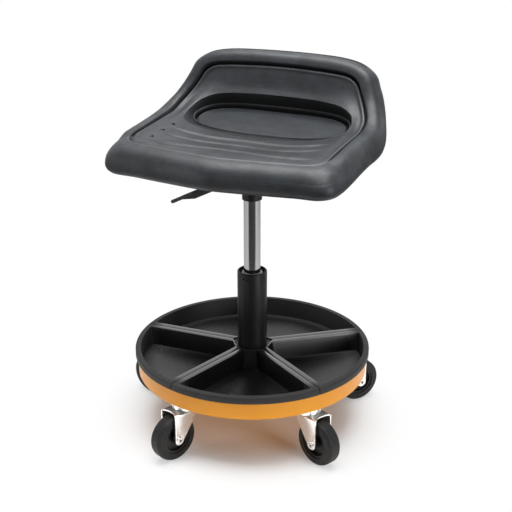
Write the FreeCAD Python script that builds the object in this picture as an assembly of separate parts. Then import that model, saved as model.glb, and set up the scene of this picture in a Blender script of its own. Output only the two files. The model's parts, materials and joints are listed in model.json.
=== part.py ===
"""Creeper seat: a rolling mechanic's stool.

Millimetres. The origin is on the floor, under the gas lift's axis. +Z is up, and the sitter faces -Y,
with the release lever on -X. The lift is at the top of its travel.
"""
import FreeCAD, Part
import math
import os

os.makedirs("parts", exist_ok=True)
Vec = FreeCAD.Vector
UP = Vec(0, 0, 1)
ALONG_X = Vec(1, 0, 0)
ALONG_Y = Vec(0, 1, 0)

# Fits and small clearances
seat_fit = 0.05
running_fit = 0.06
pin_fit = 0.08
ball_gap = 0.3
overrun = 5.0

# Base: five arms and trays round the column
arm_count = 5
first_arm_angle = 40.4
step_angle = 360 / arm_count
base_top = 136.6
tray_outer_r = 200.0
tray_wall = 2.2
tray_flange = 2.0
tray_depth = 32.8
tray_draft = 1.8
tray_skirt_depth = 11.0
tray_skirt_wall = 2.5
tray_split = 1.5
tray_side_flange = 9.0
tray_inner_apothem = 29.5
tray_inner_lean = 4.5
tray_skirt_edge_r = 1.6
tray_corner_r = 3.0

band_wall = 1.5
band_height = 38.0
band_skirt_gap = 2.0
band_tray_gap = 0.8

arm_width = 14.0
arm_wall = 1.5
arm_tray_gap = 1.5

# Column and its hub
column_r = 25.0
column_wall = 2.0
column_taper = 0.9
column_top = 270.1
column_bottom = 46.6
column_chamfer = 1.6
end_plate_thick = 4.0
hub_wall = 3.5
hub_drop = 1.0
bush_length = 77.0
bush_drop = 1.0

# Gas lift
cylinder_r = 14.0
cylinder_wall = 1.5
cylinder_bottom = 200.6
cylinder_top = 428.6
cylinder_chamfer = 1.2
rod_r = 5.0
rod_tip_r = 4.0
rod_spigot_r = 3.0
end_seal_length = 10.0
piston_gap = 4.0
piston_length = 12.0
piston_clearance = 0.1
valve_length = 48.0
valve_cap = 8.0
valve_bore_depth = 34.0
button_r = 4.0
button_stand = 6.0
button_length = 36.0
button_chamfer = 2.0

# Thrust bearing at the foot of the rod
race_r = 13.0
race_thick = 2.0
bearing_ball_r = 2.0
bearing_ball_count = 8
bearing_pitch_r = 9.0
cushion_thick = 4.0
cushion_r = 12.0
rod_tip_length = 4.0
clip_thick = 1.5
clip_r = 7.0
clip_gap = 0.5
clip_groove = 0.8

# Casters
wheel_r = 38.1
tyre_width = 24.0
tyre_inner_r = 25.0
tyre_shoulder_r = 6.0
core_width = 20.0
core_web = 7.0
core_rim = 3.5
core_boss_r = 8.0
core_fork_gap = 0.35
axle_r = 4.0
axle_bore_r = 2.4
axle_head_r = 6.2
axle_head_thick = 1.6
caster_inset = 31.0
caster_trail = 27.0
swivel_angles = (53.0, 102.0, 172.0, 249.0, 338.0)
fork_top = 85.0
fork_sheet = 2.4
fork_inner = 31.7
fork_bend_r = 3.6
fork_leg_end_r = 8.0
fork_leg_back = 5.0
fork_leg_shoulder = 14.4
fork_round_r = 19.5
fork_front_hollow = 5.0
fork_race_rise = 3.0
fork_race_inner_r = 10.0
swivel_ball_r = 2.0
swivel_ball_count = 8
swivel_ball_rise = 1.3
swivel_pitch_r = 14.5
race_step = 2.6
upper_race_thick = 3.0
upper_race_r = 22.0
upper_race_wall = 1.8
upper_race_drop = 4.1
king_pin_r = 5.0
king_head_r = 8.0
king_head_thick = 3.0
king_collar_r = 9.0
stem_r = 4.0
stem_length = 18.0
bush_wall = 1.3
stem_bush_length = 12.0
caster_plate_thick = 3.0
caster_plate_width = 34.0
caster_plate_inner = 24.0

# Seat mechanism
hub_tube_r = 16.5
hub_tube_drop = 29.0
hub_tube_length = 32.0
bracket_sheet = 3.0
bracket_rise = 20.0
bracket_length = 120.0
bracket_width = 90.0
bracket_wall_length = 72.0
bracket_wall_gap = 34.0
bracket_wall_depth = 29.0
bracket_cross_length = 36.0
bracket_cross_drop = 25.0
screw_spread_x = 96.0
screw_spread_y = 68.0
screw_r = 3.0
screw_head_r = 5.5
screw_head_thick = 3.6
screw_length = 18.0
insert_r = 5.0
insert_length = 13.0
screw_room = 8.0
underpan_length = 160.0
underpan_width = 106.0
underpan_thick = 3.0
underpan_corner_r = 14.0

# Release lever
lever_pivot_x = -26.0
lever_pivot_drop = 20.0
lever_slope = 27.1
lever_pin_r = 3.0
lever_pin_overhang = 1.5
lever_boss_r = 7.0
lever_side_gap = 0.3
lever_blade = 5.0
lever_height = 13.1
lever_blade_length = 93.0
lever_cut_length = 23.0
lever_reach = 139.0
lever_tip_r = 3.2
finger_width = 8.0
finger_thick = 6.0
finger_gap = 0.3
finger_end = 2.5
finger_knee = 10.0

# Seat pad
pad_depth = 318.3
pad_front = -170.5
pad_drop = 6.0
pad_height = 174.0
pad_half_width = 198.4
pad_thick = 52.6
pad_rim = 26.0
pad_crest = 3.0
pad_crest_in = 12.0
pad_shoulder = 13.0
pad_corner_r = 13.0
pad_dish = 11.0
pad_rise = 5.4
pad_thin_share = 1.4
crest_out_share = 0.6
crest_up_share = 0.2
crest_middle_share = 0.1
mount_boss_length = 176.0
mount_boss_width = 122.0
mount_boss_height = 23.0
recess_slope = 18.0
recess_y = -14.0
recess_rise = 56.5
recess_half_length = 148.0
recess_depth_back = 109.0
recess_clear = 60.0
recess_fill = 20.0
recess_sink = 1.6
recess_end_share = 0.757
recess_back_share = 0.91
recess_mid_share = 0.6
recess_front_half_share = 0.95
recess_front_share = 0.3

# Seat pad stations from the front edge to the top of the back. Shares of the pad's depth, height,
# half width and thickness, then the lean of the section in degrees, then the shares of the dish
# and of the rise toward the sides.
pad_station_shares = (
    (0.012, 0.150, 0.660, 0.250, 8.0, 0.00, 1.00),
    (0.046, 0.232, 0.875, 0.460, 8.0, 0.15, 1.00),
    (0.113, 0.286, 0.921, 0.781, 8.5, 0.40, 1.00),
    (0.194, 0.308, 0.964, 0.922, 8.5, 0.62, 1.00),
    (0.367, 0.350, 0.986, 1.000, 8.5, 0.90, 0.75),
    (0.532, 0.399, 0.990, 0.977, 8.5, 1.00, 0.50),
    (0.643, 0.434, 0.996, 0.941, 14.0, 1.00, 0.10),
    (0.707, 0.476, 1.000, 0.960, 32.0, 0.90, 0.05),
    (0.750, 0.534, 0.957, 0.894, 53.0, 0.75, 0.05),
    (0.780, 0.629, 0.908, 0.827, 65.0, 0.65, 0.05),
    (0.828, 0.780, 0.861, 0.751, 65.5, 0.60, 0.05),
    (0.880, 0.877, 0.793, 0.671, 66.0, 0.50, 0.05),
    (0.938, 0.938, 0.680, 0.487, 67.0, 0.30, 0.05),
    (1.000, 0.960, 0.500, 0.247, 68.0, 0.00, 0.05),
)

# Sizes that follow from the ones above
band_r = tray_outer_r - tray_skirt_wall - band_skirt_gap
caster_circle_r = tray_outer_r - caster_inset
band_inner_r = band_r - band_wall
band_top = base_top - tray_flange
band_bottom = band_top - band_height
tray_bin_r = band_inner_r - band_tray_gap
tray_under = base_top - tray_depth - tray_wall
arm_bottom = tray_under - arm_tray_gap
caster_plate_bottom = arm_bottom - caster_plate_thick
hub_r = column_r + hub_wall
hub_top = band_top - hub_drop
foot_r = column_r - column_taper
bush_top = column_top - bush_drop
bush_bottom = bush_top - bush_length
fork_outer = fork_inner + 2 * fork_sheet
fork_race_top = fork_top + fork_race_rise
upper_race_bottom = fork_race_top + race_step
upper_race_top = upper_race_bottom + upper_race_thick
swivel_ball_z = fork_race_top + swivel_ball_rise
valve_bottom = cylinder_top - valve_length
piston_bottom = cylinder_bottom + end_seal_length + piston_gap
bearing_low = column_bottom + end_plate_thick
bearing_high = bearing_low + race_thick + 2 * bearing_ball_r
rod_shoulder = bearing_high + race_thick + cushion_thick
button_top = cylinder_top + button_stand
bracket_top = cylinder_top + bracket_rise
bracket_cross_top = bracket_top - bracket_cross_drop
hub_tube_bottom = bracket_cross_top - hub_tube_drop
lever_pivot_z = bracket_top - lever_pivot_drop
underpan_top = bracket_top + underpan_thick
mount_boss_top = underpan_top + mount_boss_height
pad_low = bracket_top - pad_drop
recess_z = pad_low + recess_rise


def disc(radius, low, high, at=None):
    """A round bar along Z between two heights."""
    centre = at or Vec(0, 0, 0)
    return Part.makeCylinder(radius, high - low, Vec(centre.x, centre.y, low))


def tube(outer_r, inner_r, low, high):
    """A round tube along Z between two heights."""
    return disc(outer_r, low, high).cut(disc(inner_r, low - overrun, high + overrun))


def block(x_low, x_high, y_low, y_high, z_low, z_high):
    """A box between two corners."""
    return Part.makeBox(x_high - x_low, y_high - y_low, z_high - z_low, Vec(x_low, y_low, z_low))


def turned(profile):
    """A solid turned about Z from a closed outline of (radius, height) points."""
    points = [Vec(radius, 0, height) for radius, height in profile]
    face = Part.Face(Part.makePolygon(points + points[:1]))
    return face.revolve(Vec(0, 0, 0), UP, 360)


def bar_y(radius, x, z, half_length):
    """A round bar along Y, centred on the XZ plane."""
    return Part.makeCylinder(radius, 2 * half_length, Vec(x, -half_length, z), ALONG_Y)


def plate_xz(points, half_thick):
    """A flat plate in the XZ plane from an outline of (x, z) points."""
    corners = [Vec(x, -half_thick, z) for x, z in points]
    face = Part.Face(Part.makePolygon(corners + corners[:1]))
    return face.extrude(Vec(0, 2 * half_thick, 0))


def turned_to(shape, angle):
    """A copy turned about the lift's axis."""
    copy = shape.copy()
    copy.rotate(Vec(0, 0, 0), UP, angle)
    return copy


def at_caster(shape, number):
    """A copy of a piece, drawn with its king pin on Z and its trail along +X, put in its place."""
    arm = math.radians(arm_angle(number))
    copy = shape.copy()
    copy.rotate(Vec(0, 0, 0), UP, swivel_angles[number])
    copy.translate(Vec(caster_circle_r * math.cos(arm), caster_circle_r * math.sin(arm), 0))
    return copy


def arm_angle(number):
    """The direction of an arm from the lift's axis, in degrees from +X."""
    return first_arm_angle + number * step_angle


def ring_of_balls(ball_r, pitch_r, height, count):
    """A ring of separate balls about Z."""
    balls = []
    for number in range(count):
        turn = 2 * math.pi * number / count
        centre = Vec(pitch_r * math.cos(turn), pitch_r * math.sin(turn), height)
        balls.append(Part.makeSphere(ball_r, centre))
    return balls


def edges_where(shape, test):
    """The edges of a shape whose middle point passes a test."""
    chosen = []
    for edge in shape.Edges:
        middle = edge.valueAt((edge.FirstParameter + edge.LastParameter) / 2)
        if test(middle, edge):
            chosen.append(edge)
    return chosen


def is_upright(edge):
    """Whether an edge runs more up than along."""
    box = edge.BoundBox
    return box.ZLength > max(box.XLength, box.YLength)


def save(name, shape):
    """Writes one sub-part to its own file."""
    if isinstance(shape, list):
        shape = Part.makeCompound(shape)
    shape.exportStep(os.path.join("parts", name + ".step"))


# Column, hub and bush

def make_column():
    """The outer tube of the gas lift, tapered where it sits in the hub."""
    outer = [
        (0, column_bottom),
        (foot_r, column_bottom),
        (foot_r, band_bottom),
        (column_r, hub_top),
        (column_r, column_top - column_chamfer),
        (column_r - column_chamfer, column_top),
        (0, column_top),
    ]
    inner = [
        (0, column_bottom - overrun),
        (foot_r - column_wall, column_bottom - overrun),
        (foot_r - column_wall, band_bottom),
        (column_r - column_wall, hub_top),
        (column_r - column_wall, column_top + overrun),
        (0, column_top + overrun),
    ]
    return turned(outer).cut(turned(inner))


def make_end_plate():
    """The disc that closes the column's foot and carries the thrust bearing."""
    return tube(foot_r - column_wall - seat_fit, rod_tip_r + pin_fit, column_bottom, bearing_low)


def make_hub():
    """The welded steel hub with a tapered bore for the column."""
    body = disc(hub_r, band_bottom, hub_top)
    bore = turned([
        (0, band_bottom),
        (foot_r + seat_fit, band_bottom),
        (column_r + seat_fit, hub_top),
        (0, hub_top),
    ])
    return body.cut(bore)


def make_guide_bush():
    """The plastic bush in the column's mouth that guides the chrome cylinder."""
    return tube(column_r - column_wall - seat_fit, cylinder_r + running_fit, bush_bottom, bush_top)


# Arms, band and caster plates

def make_arm():
    """One arm: a rectangular tube on edge, from the hub to the band, along +X."""
    half = arm_width / 2
    outer = block(0, tray_outer_r, -half, half, arm_bottom, band_top)
    hollow = block(0, tray_outer_r, arm_wall - half, half - arm_wall, arm_bottom + arm_wall, band_top - arm_wall)
    arm = outer.cut(hollow).common(disc(band_inner_r - seat_fit, arm_bottom, band_top))
    arm = arm.cut(disc(hub_r + seat_fit, band_bottom, band_top + overrun))
    hole = disc(stem_r + pin_fit, arm_bottom - overrun, arm_bottom + arm_wall, Vec(caster_circle_r, 0, 0))
    return arm.cut(hole)


def make_caster_plate():
    """The plate under an arm's end that a caster's stem goes through."""
    half = caster_plate_width / 2
    inner = caster_circle_r - caster_plate_inner
    plate = block(inner, tray_outer_r, -half, half, caster_plate_bottom, arm_bottom)
    plate = plate.common(disc(band_inner_r - seat_fit, caster_plate_bottom, arm_bottom))
    hole = disc(stem_r + pin_fit, caster_plate_bottom - overrun, arm_bottom + overrun, Vec(caster_circle_r, 0, 0))
    return plate.cut(hole)


def make_stem_bush():
    """The threaded bush inside an arm that takes a caster's stem."""
    low = arm_bottom + arm_wall
    return tube(stem_r + bush_wall, stem_r + seat_fit, low, low + stem_bush_length)


# Trays

def wedge_wire(side_gap, outer_r, apothem, height):
    """A closed wedge outline about +X: inner edge, side, outer arc, side."""
    half = math.radians(step_angle / 2)
    reach = math.sqrt(outer_r ** 2 - side_gap ** 2)
    outer_x = reach * math.cos(half) + side_gap * math.sin(half)
    outer_y = reach * math.sin(half) - side_gap * math.cos(half)
    start = (apothem - side_gap * math.sin(half)) / math.cos(half)
    inner_y = start * math.sin(half) - side_gap * math.cos(half)
    inner_low = Vec(apothem, -inner_y, height)
    inner_high = Vec(apothem, inner_y, height)
    outer_low = Vec(outer_x, -outer_y, height)
    outer_high = Vec(outer_x, outer_y, height)
    arc = Part.Arc(outer_low, Vec(outer_r, 0, height), outer_high).toShape()
    return Part.Wire([
        Part.LineSegment(inner_high, inner_low).toShape(),
        Part.LineSegment(inner_low, outer_low).toShape(),
        arc,
        Part.LineSegment(outer_high, inner_high).toShape(),
    ])


def wedge_plate(side_gap, outer_r, apothem, low, high):
    """A straight-sided wedge between two heights."""
    face = Part.Face(wedge_wire(side_gap, outer_r, apothem, low))
    return face.extrude(Vec(0, 0, high - low))


def make_tray():
    """One wedge tray: a bin hung by its flange, with a skirt over the band."""
    split = tray_split / 2
    cavity_side = split + tray_side_flange
    cavity_r = tray_bin_r - tray_wall
    cavity_inner = tray_inner_apothem + tray_wall
    floor_top = tray_under + tray_wall
    flange = wedge_plate(split, tray_outer_r, tray_inner_apothem, band_top, base_top)
    bin_shell = Part.makeLoft([
        wedge_wire(cavity_side - tray_wall + tray_draft, tray_bin_r - tray_draft,
                   tray_inner_apothem + tray_inner_lean, tray_under),
        wedge_wire(cavity_side - tray_wall, tray_bin_r, tray_inner_apothem, base_top - tray_flange / 2),
    ], True, True)
    cavity = Part.makeLoft([
        wedge_wire(cavity_side + tray_draft, cavity_r - tray_draft, cavity_inner + tray_inner_lean, floor_top),
        wedge_wire(cavity_side, cavity_r, cavity_inner, base_top),
    ], True, True)
    cavity = cavity.makeFillet(tray_corner_r, edges_where(cavity, lambda middle, edge: is_upright(edge)))
    skirt = wedge_plate(split, tray_outer_r, tray_inner_apothem, base_top - tray_skirt_depth, base_top)
    skirt = skirt.cut(disc(tray_outer_r - tray_skirt_wall, 0, base_top + overrun))
    shell = bin_shell.fuse([flange, skirt]).cut(cavity)
    shell = shell.removeSplitter()
    rim = edges_where(shell, lambda middle, edge: on_rim(middle, edge, tray_outer_r))
    shell = shell.makeFillet(tray_skirt_edge_r, rim)
    return shell


def on_rim(middle, edge, radius):
    """Whether an edge is the outer edge of a tray's top."""
    return abs(middle.z - base_top) < seat_fit and abs(math.hypot(middle.x, middle.y) - radius) < seat_fit


# Casters

def make_fork():
    """A pressed fork: a top plate round the king pin, two legs, and the raised lower race."""
    half_out = fork_outer / 2
    half_in = fork_inner / 2
    front = caster_trail + fork_leg_end_r
    plate_low = fork_top - fork_sheet
    leg = make_leg(front)
    near = leg.copy()
    near.translate(Vec(0, -half_out, 0))
    far = leg.copy()
    far.translate(Vec(0, half_in, 0))
    channel = block(-fork_leg_back, front, -half_out, half_out, plate_low, fork_top)
    channel = channel.fuse([near, far]).removeSplitter()
    bends = edges_where(channel, lambda middle, edge: is_bend(middle, half_out))
    channel = channel.makeFillet(fork_bend_r, bends)
    hollow_r = (fork_inner ** 2 / 4 + fork_front_hollow ** 2) / (2 * fork_front_hollow)
    hollow = disc(hollow_r, plate_low - overrun, fork_top + overrun,
                  Vec(front + hollow_r - fork_front_hollow, 0, 0))
    hollow = hollow.common(block(0, front + hollow_r, -half_in, half_in, 0, fork_top + overrun))
    round_end = disc(fork_round_r, plate_low, fork_top)
    round_end = round_end.common(block(-fork_round_r, 0, -half_in, half_in, plate_low, fork_top))
    fork = channel.fuse(round_end).cut(hollow)
    race = tube(fork_round_r, fork_race_inner_r, fork_top - fork_sheet / 2, fork_race_top)
    fork = fork.fuse(race).removeSplitter()
    groove = Part.makeTorus(swivel_pitch_r, swivel_ball_r + ball_gap, Vec(0, 0, swivel_ball_z))
    fork = fork.cut(groove)
    hole = disc(king_pin_r + pin_fit, plate_low - overrun, fork_race_top + overrun)
    axle = bar_y(axle_r + seat_fit, caster_trail, wheel_r, fork_outer)
    return fork.cut(hole).cut(axle)


def is_bend(middle, half_out):
    """Whether an edge is the outer bend line of a fork's leg."""
    return abs(abs(middle.y) - half_out) < seat_fit and abs(middle.z - fork_top) < seat_fit


def make_leg(front):
    """One fork leg in the XZ plane, wide at the top and rounded about the axle."""
    centre = Vec(caster_trail, 0, wheel_r)
    back = Vec(-fork_leg_back, 0, fork_top)
    knee = Vec(-fork_leg_back, 0, fork_top - fork_leg_shoulder)
    away = knee - centre
    reach = away.Length
    swing = math.acos(fork_leg_end_r / reach)
    toward = math.atan2(away.z, away.x) + swing
    touch = Vec(centre.x + fork_leg_end_r * math.cos(toward), 0, centre.z + fork_leg_end_r * math.sin(toward))
    side = Vec(front, 0, wheel_r)
    bottom = Vec(caster_trail, 0, wheel_r - fork_leg_end_r)
    corner = Vec(front, 0, fork_top)
    edges = [
        Part.LineSegment(back, corner).toShape(),
        Part.LineSegment(corner, side).toShape(),
        Part.Arc(side, bottom, touch).toShape(),
        Part.LineSegment(touch, knee).toShape(),
        Part.LineSegment(knee, back).toShape(),
    ]
    return Part.Face(Part.Wire(edges)).extrude(Vec(0, fork_sheet, 0))


def make_axle():
    """A hollow rivet through the fork's legs."""
    half_out = fork_outer / 2
    shank = bar_y(axle_r, caster_trail, wheel_r, half_out + axle_head_thick)
    heads = []
    for side in (-1, 1):
        low = side * half_out
        head = Part.makeCylinder(axle_head_r, axle_head_thick, Vec(caster_trail, low, wheel_r), ALONG_Y * side)
        heads.append(head)
    bore = bar_y(axle_bore_r, caster_trail, wheel_r, fork_outer)
    return shank.fuse(heads).removeSplitter().cut(bore)


def wheel_turned(profile):
    """A solid turned about a wheel's axle from (radius, offset along the axle) points."""
    wheel = turned(profile)
    wheel.rotate(Vec(0, 0, 0), ALONG_X, 90)
    wheel.translate(Vec(caster_trail, 0, wheel_r))
    return wheel


def make_core():
    """The plastic wheel core: rim, thin web and boss."""
    half = core_width / 2
    web = core_web / 2
    boss = fork_inner / 2 - core_fork_gap
    rim_r = tyre_inner_r - core_rim
    outer_r = tyre_inner_r - seat_fit
    return wheel_turned([
        (axle_r + running_fit, -boss),
        (core_boss_r, -boss),
        (core_boss_r, -web),
        (rim_r, -web),
        (rim_r, -half),
        (outer_r, -half),
        (outer_r, half),
        (rim_r, half),
        (rim_r, web),
        (core_boss_r, web),
        (core_boss_r, boss),
        (axle_r + running_fit, boss),
    ])


def make_tyre():
    """The rubber tyre with rounded shoulders."""
    half = tyre_width / 2
    tyre = wheel_turned([
        (tyre_inner_r, -half),
        (wheel_r, -half),
        (wheel_r, half),
        (tyre_inner_r, half),
    ])
    middle_round = math.pi * (tyre_inner_r + wheel_r)
    return tyre.makeFillet(tyre_shoulder_r, edges_where(tyre, lambda middle, edge: edge.Length > middle_round))


def make_upper_race():
    """The fixed upper race with a rim that covers the balls."""
    race = disc(upper_race_r, upper_race_bottom - upper_race_drop, upper_race_top)
    inside = disc(upper_race_r - upper_race_wall, upper_race_bottom - upper_race_drop - overrun, upper_race_bottom)
    groove = Part.makeTorus(swivel_pitch_r, swivel_ball_r + ball_gap, Vec(0, 0, swivel_ball_z))
    hole = disc(king_pin_r + seat_fit, upper_race_bottom - overrun, upper_race_top + overrun)
    return race.cut(inside).cut(groove).cut(hole)


def make_king_pin():
    """The king pin: head under the fork, shank, collar under the plate, threaded stem."""
    head_top = fork_top - fork_sheet - ball_gap
    return turned([
        (0, head_top - king_head_thick),
        (king_head_r, head_top - king_head_thick),
        (king_head_r, head_top),
        (king_pin_r, head_top),
        (king_pin_r, upper_race_top),
        (king_collar_r, upper_race_top),
        (king_collar_r, caster_plate_bottom),
        (stem_r, caster_plate_bottom),
        (stem_r, caster_plate_bottom + stem_length),
        (0, caster_plate_bottom + stem_length),
    ])


# Gas lift

def make_cylinder():
    """The chrome cylinder that the seat rides on, with its capped top."""
    outer = turned([
        (0, cylinder_bottom),
        (cylinder_r, cylinder_bottom),
        (cylinder_r, cylinder_top - cylinder_chamfer),
        (cylinder_r - cylinder_chamfer, cylinder_top),
        (0, cylinder_top),
    ])
    hollow = disc(cylinder_r - cylinder_wall, cylinder_bottom - overrun, cylinder_top - valve_cap)
    return outer.cut(hollow).cut(disc(button_r + running_fit, cylinder_bottom, cylinder_top + overrun))


def make_valve():
    """The valve block in the cylinder's head that guides the release button."""
    top = cylinder_top - valve_cap
    body = disc(cylinder_r - cylinder_wall - seat_fit, valve_bottom, top)
    return body.cut(disc(button_r + running_fit, top - valve_bore_depth, top + overrun))


def make_button():
    """The release button, rounded off at the top."""
    return turned([
        (0, button_top - button_length),
        (button_r, button_top - button_length),
        (button_r, button_top - button_chamfer),
        (button_r - button_chamfer, button_top),
        (0, button_top),
    ])


def make_rod():
    """The piston rod, from its clip groove to the piston's spigot."""
    clip_top = column_bottom - clip_gap
    clip_low = clip_top - clip_thick
    piston_top = piston_bottom + piston_length
    return turned([
        (0, clip_low - rod_tip_length / 2),
        (rod_tip_r, clip_low - rod_tip_length / 2),
        (rod_tip_r, clip_low),
        (rod_tip_r - clip_groove, clip_low),
        (rod_tip_r - clip_groove, clip_top),
        (rod_tip_r, clip_top),
        (rod_tip_r, rod_shoulder),
        (rod_r, rod_shoulder),
        (rod_r, piston_bottom),
        (rod_spigot_r, piston_bottom),
        (rod_spigot_r, piston_top),
        (0, piston_top),
    ])


def make_race(low, bore_r):
    """A flat bearing race with a ball groove toward the balls."""
    race = tube(race_r, bore_r, low, low + race_thick)
    groove = Part.makeTorus(bearing_pitch_r, bearing_ball_r + ball_gap,
                            Vec(0, 0, bearing_low + race_thick + bearing_ball_r))
    return race.cut(groove)


# Seat mechanism

def screw_places():
    """The four screw centres."""
    places = []
    for side_x in (-1, 1):
        for side_y in (-1, 1):
            places.append(Vec(side_x * screw_spread_x / 2, side_y * screw_spread_y / 2, 0))
    return places


def make_bracket():
    """The seat bracket: a top plate, two walls for the lever's pin, and a cross plate for the hub."""
    half_x = bracket_length / 2
    half_y = bracket_width / 2
    top_low = bracket_top - bracket_sheet
    inner = bracket_wall_gap / 2
    wall_low = bracket_top - bracket_wall_depth
    half_wall = bracket_wall_length / 2
    half_cross = bracket_cross_length / 2
    plate = block(-half_x, half_x, -half_y, half_y, top_low, bracket_top)
    walls = []
    for side in (-1, 1):
        y_low = min(side * inner, side * (inner + bracket_sheet))
        walls.append(block(-half_wall, half_wall, y_low, y_low + bracket_sheet, wall_low, top_low))
    cross = block(-half_cross, half_cross, -inner, inner, bracket_cross_top - bracket_sheet, bracket_cross_top)
    bracket = plate.fuse(walls + [cross]).removeSplitter()
    upright = edges_where(bracket, lambda middle, edge: is_plate_corner(middle, edge, half_x, half_y))
    bracket = bracket.makeFillet(underpan_corner_r, upright)
    bracket = bracket.cut(disc(hub_tube_r + seat_fit, hub_tube_bottom, bracket_cross_top + overrun))
    bracket = bracket.cut(bar_y(lever_pin_r + seat_fit, lever_pivot_x, lever_pivot_z, bracket_width))
    for place in screw_places():
        bracket = bracket.cut(disc(screw_r + pin_fit, top_low - overrun, bracket_top + overrun, place))
    return bracket


def is_plate_corner(middle, edge, half_x, half_y):
    """Whether an edge is an upright corner of a plate of the given half sizes."""
    at_x = abs(abs(middle.x) - half_x) < seat_fit
    at_y = abs(abs(middle.y) - half_y) < seat_fit
    return at_x and at_y


def make_underpan():
    """The plate under the pad that spreads the load of the bracket."""
    half_x = underpan_length / 2
    half_y = underpan_width / 2
    pan = block(-half_x, half_x, -half_y, half_y, bracket_top, underpan_top)
    corners = edges_where(pan, lambda middle, edge: is_plate_corner(middle, edge, half_x, half_y))
    pan = pan.makeFillet(underpan_corner_r, corners)
    for place in screw_places():
        pan = pan.cut(disc(screw_r + pin_fit, bracket_top - overrun, underpan_top + overrun, place))
    return pan


def make_screw():
    """A round-headed seat screw, pointing up."""
    head_top = bracket_top - bracket_sheet
    head = disc(screw_head_r, head_top - screw_head_thick, head_top)
    rounded = edges_where(head, lambda middle, edge: abs(middle.z - head_top + screw_head_thick) < seat_fit)
    head = head.makeFillet(screw_head_thick / 2, rounded)
    return head.fuse(disc(screw_r, head_top - screw_head_thick / 2, head_top + screw_length)).removeSplitter()


def make_insert():
    """A threaded insert in the pad."""
    return tube(insert_r, screw_r + seat_fit, underpan_top, underpan_top + insert_length)


def make_hub_tube():
    """The taper hub that grips the cylinder's head."""
    top = hub_tube_bottom + hub_tube_length
    return tube(hub_tube_r, cylinder_r + seat_fit, hub_tube_bottom, top)


def make_lever():
    """The release lever: boss, finger over the button, sloping blade and a round tip."""
    half_boss = bracket_wall_gap / 2 - lever_side_gap
    boss = bar_y(lever_boss_r, lever_pivot_x, lever_pivot_z, half_boss)
    finger_low = button_top + finger_gap
    finger_high = finger_low + finger_thick
    finger = plate_xz([
        (lever_pivot_x - lever_boss_r, lever_pivot_z),
        (lever_pivot_x, finger_high),
        (finger_end, finger_high),
        (finger_end, finger_low),
        (-finger_knee, finger_low),
        (lever_pivot_x + lever_boss_r, lever_pivot_z),
    ], finger_width / 2)
    half_height = lever_height / 2
    blade = plate_xz([
        (0, -half_height),
        (0, half_height),
        (-lever_blade_length - lever_cut_length, half_height),
        (-lever_blade_length - lever_cut_length, half_height - 2 * lever_tip_r),
        (-lever_blade_length, -half_height),
    ], lever_blade / 2)
    tip_start = Vec(-lever_blade_length, 0, half_height - lever_tip_r)
    tip_length = lever_reach - lever_blade_length
    tip = Part.makeCylinder(lever_tip_r, tip_length, tip_start, ALONG_X * -1)
    tip = tip.fuse(Part.makeSphere(lever_tip_r, tip_start - ALONG_X * tip_length))
    arm = blade.fuse(tip).removeSplitter()
    arm.rotate(Vec(0, 0, 0), ALONG_Y, -lever_slope)
    arm.translate(Vec(lever_pivot_x, 0, lever_pivot_z))
    lever = boss.fuse([finger, arm]).removeSplitter()
    return lever.cut(bar_y(lever_pin_r + running_fit, lever_pivot_x, lever_pivot_z, bracket_width))


def make_lever_pin():
    """The pin that the lever turns on."""
    half = bracket_wall_gap / 2 + bracket_sheet + lever_pin_overhang
    return bar_y(lever_pin_r, lever_pivot_x, lever_pivot_z, half)


# Seat pad

def pad_wire(y_share, z_share, width_share, thick_share, lean, dish_share, rise_share):
    """The pad's closed section at one station, symmetrical about X = 0."""
    y = pad_front + y_share * pad_depth
    z = pad_low + z_share * pad_height
    width = width_share * pad_half_width
    thick = thick_share * pad_thick
    small = min(1, thick_share * pad_thin_share)
    corner = pad_corner_r * small
    shoulder = pad_shoulder * small
    crest = pad_crest * small
    crest_x = width - pad_crest_in * crest_out_share
    rim_x = width - pad_rim
    dish = pad_dish * dish_share
    slope = math.radians(lean)
    bend = corner * (1 - math.sqrt(0.5))

    def at(x, height):
        lifted = height + pad_rise * rise_share * (x / pad_half_width) ** 2
        return Vec(x, y - lifted * math.sin(slope), z + lifted * math.cos(slope))

    def bow(first, middle, last):
        return Part.Arc(at(*first), at(*middle), at(*last)).toShape()

    return Part.Wire([
        bow((corner - width, -thick), (0, -thick), (width - corner, -thick)),
        bow((width - corner, -thick), (width - bend, bend - thick), (width, corner - thick)),
        Part.LineSegment(at(width, corner - thick), at(width, -shoulder)).toShape(),
        bow((width, -shoulder), (crest_x, crest * crest_up_share), (rim_x, 0)),
        bow((rim_x, 0), (0, -dish - crest * crest_middle_share), (-rim_x, 0)),
        bow((-rim_x, 0), (-crest_x, crest * crest_up_share), (-width, -shoulder)),
        Part.LineSegment(at(-width, -shoulder), at(-width, corner - thick)).toShape(),
        bow((-width, corner - thick), (bend - width, bend - thick), (corner - width, -thick)),
    ])


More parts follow.
